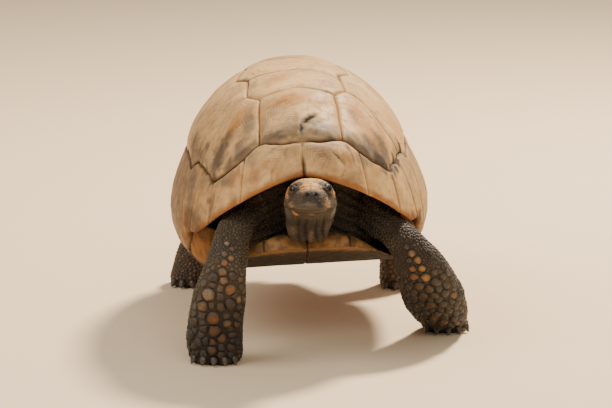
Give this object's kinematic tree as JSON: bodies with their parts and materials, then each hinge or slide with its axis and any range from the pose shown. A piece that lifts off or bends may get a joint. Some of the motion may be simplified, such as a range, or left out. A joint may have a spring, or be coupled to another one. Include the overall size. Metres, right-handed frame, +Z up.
{
  "type": "yellow-footed tortoise",
  "caption": "Life-size still model of a tortoise in mid-step: high-domed plated shell, stout scaly legs, head held out low.",
  "frame": {"origin": "on the floor, under the middle of the whole animal's box", "axes": "+Z up, head towards -Y, the animal's own left towards +X"},
  "size_m": [0.3248, 0.5092, 0.2755],
  "materials": {
    "shell_plates": "weathered horn, pale tan clouded with grey and brown, soft sheen",
    "rim_plates": "weathered horn, grey-tan, orange-brown along the worn edge",
    "belly_plates": "worn yellow-brown horn with dark seams",
    "skin": "dark, folded, scaly skin with orange scales on the legs",
    "head_skin": "small smooth scales, yellow-orange crown, grey snout",
    "beak": "grey horn, slightly glossy",
    "claws": "grey-brown horn, worn",
    "eyes": "wet, glossy, nearly black"
  },
  "bodies": {
    "root": {"marginals_front_left": "rim_plates", "marginals_bridge_left": "rim_plates", "marginals_rear_left": "rim_plates", "marginals_front_right": "rim_plates", "marginals_bridge_right": "rim_plates", "marginals_rear_right": "rim_plates", "supracaudal": "rim_plates", "vertebral_1": "shell_plates", "vertebral_2": "shell_plates", "vertebral_3": "shell_plates", "vertebral_4": "shell_plates", "vertebral_5": "shell_plates", "costal_left_1": "shell_plates", "costal_right_1": "shell_plates", "costal_left_2": "shell_plates", "costal_right_2": "shell_plates", "costal_left_3": "shell_plates", "costal_right_3": "shell_plates", "costal_left_4": "shell_plates", "costal_right_4": "shell_plates", "plastron_gular": "belly_plates", "plastron_humeral": "belly_plates", "plastron_pectoral": "belly_plates", "plastron_abdominal": "belly_plates", "plastron_femoral": "belly_plates", "plastron_anal": "belly_plates", "head": "head_skin", "beak_upper": "beak", "beak_lower": "beak", "eye_right": "eyes", "eye_left": "eyes", "neck": "skin", "tail": "skin", "trunk": "skin", "foreleg_right": "skin", "claw_foreleg_right_1": "claws", "claw_foreleg_right_2": "claws", "claw_foreleg_right_3": "claws", "claw_foreleg_right_4": "claws", "claw_foreleg_right_5": "claws", "foreleg_left": "skin", "claw_foreleg_left_1": "claws", "claw_foreleg_left_2": "claws", "claw_foreleg_left_3": "claws", "claw_foreleg_left_4": "claws", "claw_foreleg_left_5": "claws", "hindleg_right": "skin", "claw_hindleg_right_1": "claws", "claw_hindleg_right_2": "claws", "claw_hindleg_right_3": "claws", "claw_hindleg_right_4": "claws", "hindleg_left": "skin", "claw_hindleg_left_1": "claws", "claw_hindleg_left_2": "claws", "claw_hindleg_left_3": "claws", "claw_hindleg_left_4": "claws"}
  },
  "joints": []
}
